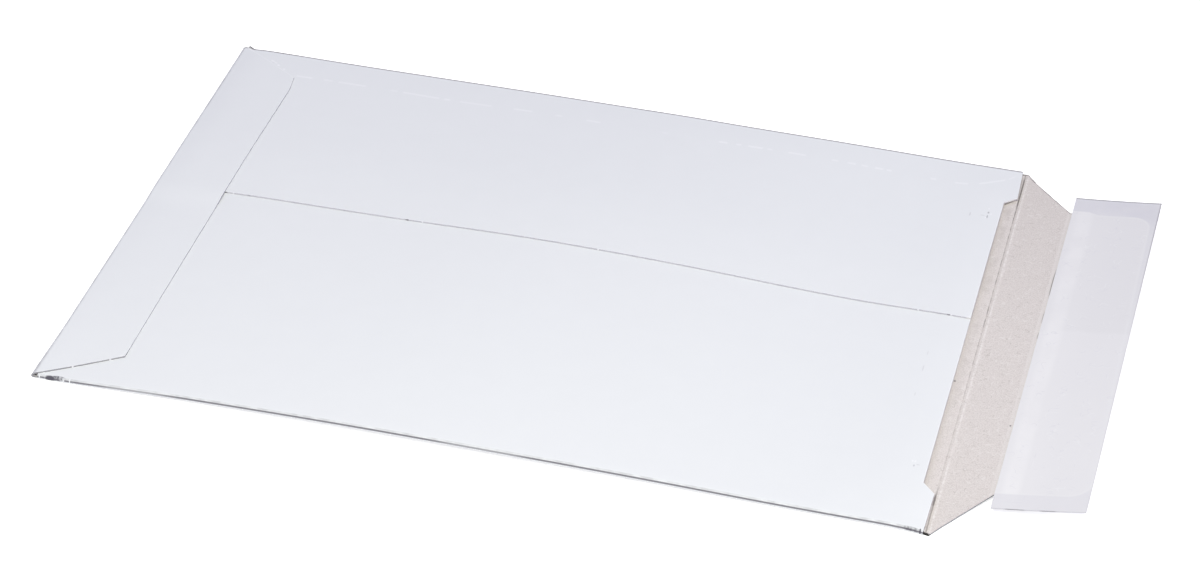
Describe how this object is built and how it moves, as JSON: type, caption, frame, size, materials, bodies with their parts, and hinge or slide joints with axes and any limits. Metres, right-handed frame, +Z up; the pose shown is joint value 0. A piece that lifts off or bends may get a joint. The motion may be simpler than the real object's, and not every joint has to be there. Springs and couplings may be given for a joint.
{
  "type": "cardboard envelope",
  "caption": "Flat mailing envelope folded from one sheet of white board, with a glued back seam and bottom flap, and an open closing flap that carries an adhesive strip under a release liner.",
  "frame": {"origin": "middle of the footprint, on the surface that the front panel lies on", "axes": "+X from the bottom fold to the closing flap, +Y across the pocket, +Z up through the back seam"},
  "size_m": [0.3946, 0.24, 0.0075],
  "materials": {
    "coated_board": "white clay-coated outside, grey-beige uncoated inside and cut edges",
    "adhesive": "clear tacky pressure-sensitive film",
    "liner_paper": "smooth release-coated white paper"
  },
  "bodies": {
    "root": {"envelope_board": "coated_board", "adhesive_strip": "adhesive", "release_liner": "liner_paper"}
  },
  "joints": []
}
